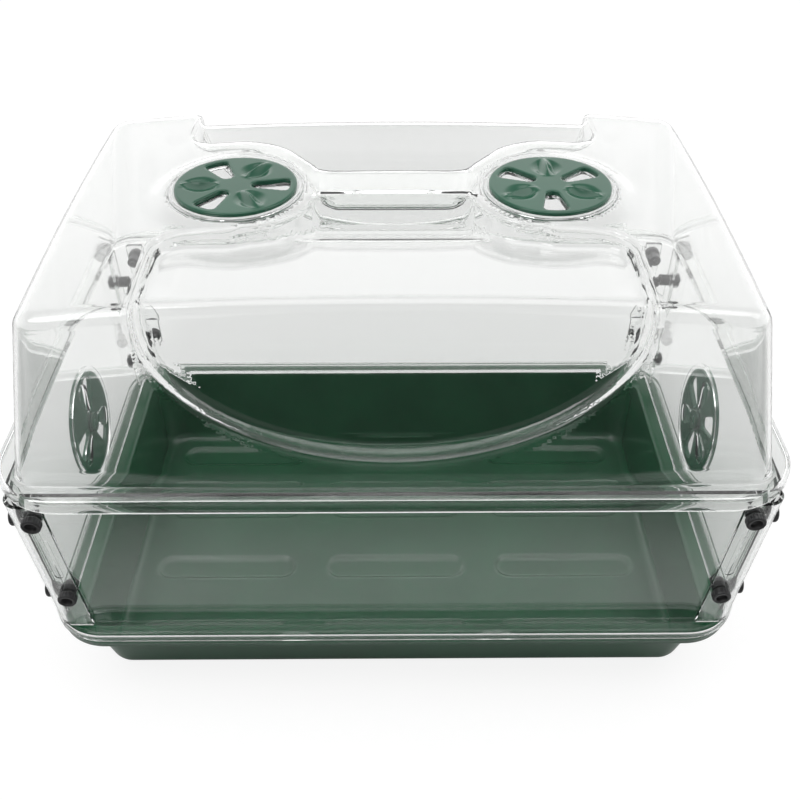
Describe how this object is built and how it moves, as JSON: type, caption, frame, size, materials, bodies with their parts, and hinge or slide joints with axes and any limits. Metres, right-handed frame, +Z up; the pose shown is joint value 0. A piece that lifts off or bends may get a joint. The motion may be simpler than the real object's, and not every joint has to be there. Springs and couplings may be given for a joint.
{
  "type": "humidity dome tray",
  "caption": "Green growing tray with a bolted clear height collar and a lift-off clear dome with rotary vents and a moulded carrying bridge.",
  "frame": {"origin": "centre of the footprint, on the plane the feet stand on", "axes": "+X along the long side, +Y towards the back, +Z up; the front is -Y"},
  "size_m": [0.6, 0.39, 0.4001],
  "materials": {
    "green_tray": "semi-gloss moulded polypropylene with a fine grain",
    "clear_shell": "clear polished moulding",
    "clear_dome": "clear polished moulding",
    "black_screw": "satin moulded nylon",
    "green_vent": "glossy moulded plastic",
    "vent_clip": "satin moulded plastic"
  },
  "bodies": {
    "tray": {"tray": "green_tray"},
    "collar": {"collar_panel_front": "clear_shell", "collar_panel_back": "clear_shell", "collar_panel_left": "clear_shell", "collar_panel_right": "clear_shell", "corner_post_front_left": "clear_shell", "corner_post_front_right": "clear_shell", "corner_post_back_left": "clear_shell", "corner_post_back_right": "clear_shell", "thumb_screws_front_left": "black_screw", "thumb_screws_front_right": "black_screw", "thumb_screws_back_left": "black_screw", "thumb_screws_back_right": "black_screw", "screw_nuts_front_left": "black_screw", "screw_nuts_front_right": "black_screw", "screw_nuts_back_left": "black_screw", "screw_nuts_back_right": "black_screw"},
    "dome": {"dome": "clear_dome"},
    "roof_vent_left": {"roof_vent_dial_left": "green_vent", "roof_vent_clip_left": "vent_clip"},
    "roof_vent_right": {"roof_vent_dial_right": "green_vent", "roof_vent_clip_right": "vent_clip"},
    "side_vent_left": {"side_vent_dial_left": "green_vent", "side_vent_clip_left": "vent_clip"},
    "side_vent_right": {"side_vent_dial_right": "green_vent", "side_vent_clip_right": "vent_clip"}
  },
  "joints": [
    {"name": "collar_lift", "type": "slide", "parent": "tray", "child": "collar", "axis": [0, 0, 1], "range_m": [0, 0.1]},
    {"name": "dome_lift", "type": "slide", "parent": "collar", "child": "dome", "axis": [0, 0, 1], "range_m": [0, 0.2]},
    {"name": "roof_vent_left_turn", "type": "hinge", "parent": "dome", "child": "roof_vent_left", "pos_m": [-0.1215, 0, 0.396], "axis": [0, 0, 1], "range_deg": [0, 60]},
    {"name": "roof_vent_right_turn", "type": "hinge", "parent": "dome", "child": "roof_vent_right", "pos_m": [0.1215, 0, 0.396], "axis": [0, 0, 1], "range_deg": [0, 60]},
    {"name": "side_vent_left_turn", "type": "hinge", "parent": "collar", "child": "side_vent_left", "pos_m": [-0.28173, 0, 0.16], "axis": [-0.9988, 0, -0.0491], "range_deg": [-25, 35]},
    {"name": "side_vent_right_turn", "type": "hinge", "parent": "collar", "child": "side_vent_right", "pos_m": [0.28173, 0, 0.16], "axis": [0.9988, 0, -0.0491], "range_deg": [-60, 0]}
  ]
}
